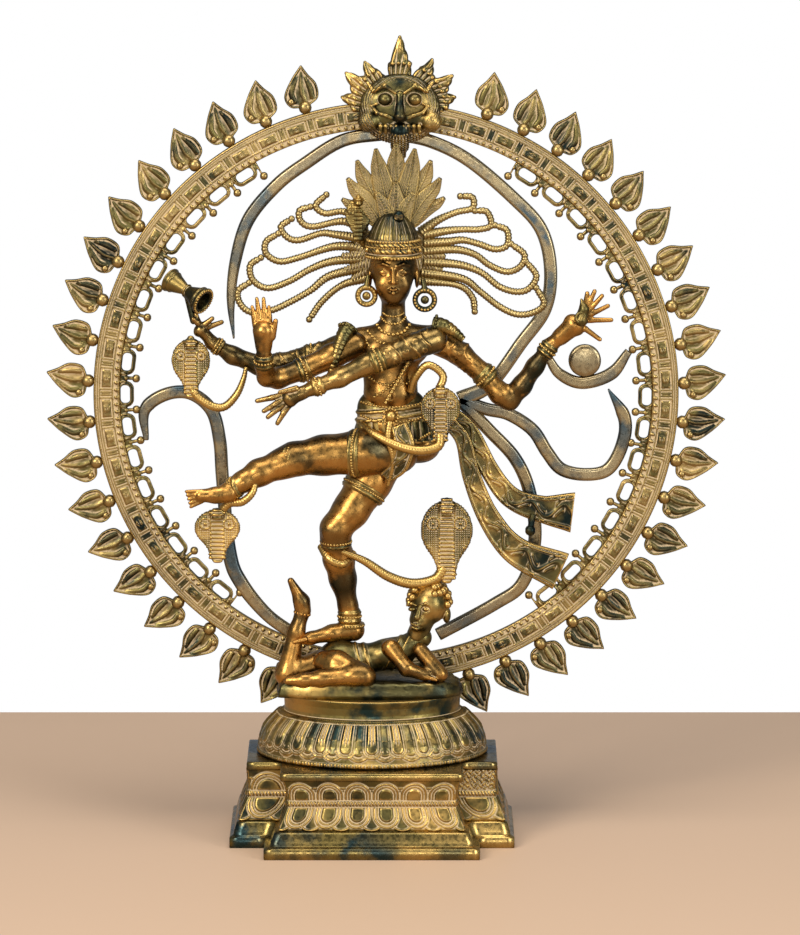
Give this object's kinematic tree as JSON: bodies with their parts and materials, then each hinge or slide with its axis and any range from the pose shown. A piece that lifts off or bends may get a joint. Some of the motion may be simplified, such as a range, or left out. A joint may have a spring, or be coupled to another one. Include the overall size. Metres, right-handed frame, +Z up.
{
  "type": "dancing figure statue",
  "caption": "Antiqued brass dancing figure inside a ring of flames, standing on an oval lotus drum and a stepped hollow plinth.",
  "frame": {"origin": "centre of the plinth's underside", "axes": "+Z up along the statue's height, +Y from the front towards the back, +X to the viewer's right"},
  "size_m": [0.513, 0.188, 0.6008],
  "materials": {
    "figure_brass": "polished high points, green-black patina and cream wash in the recesses",
    "ring_brass": "cast relief with green-black patina and cream wash in the recesses",
    "bar_brass": "smooth satin, blue-grey to cream gold",
    "base_brass": "polished mouldings, cream wash in the petal lines",
    "fasteners": "plain zinc plated"
  },
  "bodies": {
    "root": {"anklets": "figure_brass", "arm_across_chest": "figure_brass", "arm_blessing": "figure_brass", "arm_with_drum": "figure_brass", "arm_with_flame": "figure_brass", "armlets": "figure_brass", "bangles": "figure_brass", "bar_crescent": "bar_brass", "bar_disc": "bar_brass", "bar_lower_left": "bar_brass", "bar_lower_right": "bar_brass", "bar_tail": "bar_brass", "bar_top_left": "bar_brass", "bar_top_right": "bar_brass", "cobra_ankle": "figure_brass", "cobra_arm": "figure_brass", "cobra_hair": "figure_brass", "cobra_knee": "figure_brass", "cobra_waist": "figure_brass", "crest_plumes": "figure_brass", "crown": "figure_brass", "damaru": "figure_brass", "drum_bolts": "fasteners", "drum_nuts": "fasteners", "dwarf_arms": "figure_brass", "dwarf_body": "figure_brass", "dwarf_head": "figure_brass", "dwarf_lower_leg": "figure_brass", "dwarf_raised_leg": "figure_brass", "ear_ornaments": "figure_brass", "flames_left": "ring_brass", "flames_right": "ring_brass", "girdle": "figure_brass", "ground_slab": "figure_brass", "hair_left": "figure_brass", "hair_right": "figure_brass", "hand_flame": "figure_brass", "head": "figure_brass", "leg_bands": "figure_brass", "lotus_drum": "base_brass", "mask_crown": "ring_brass", "mask_face": "ring_brass", "necklace": "figure_brass", "plinth": "base_brass", "raised_leg": "figure_brass", "ring_band": "ring_brass", "ring_foot": "base_brass", "ring_lattice_left": "ring_brass", "ring_lattice_right": "ring_brass", "sash_link": "figure_brass", "sash_lower": "figure_brass", "sash_upper": "figure_brass", "standing_leg": "figure_brass", "stud_nuts": "fasteners", "stud_washers": "fasteners", "studs": "fasteners", "tassel_left": "figure_brass", "tassel_right": "figure_brass", "torso": "figure_brass"}
  },
  "joints": []
}
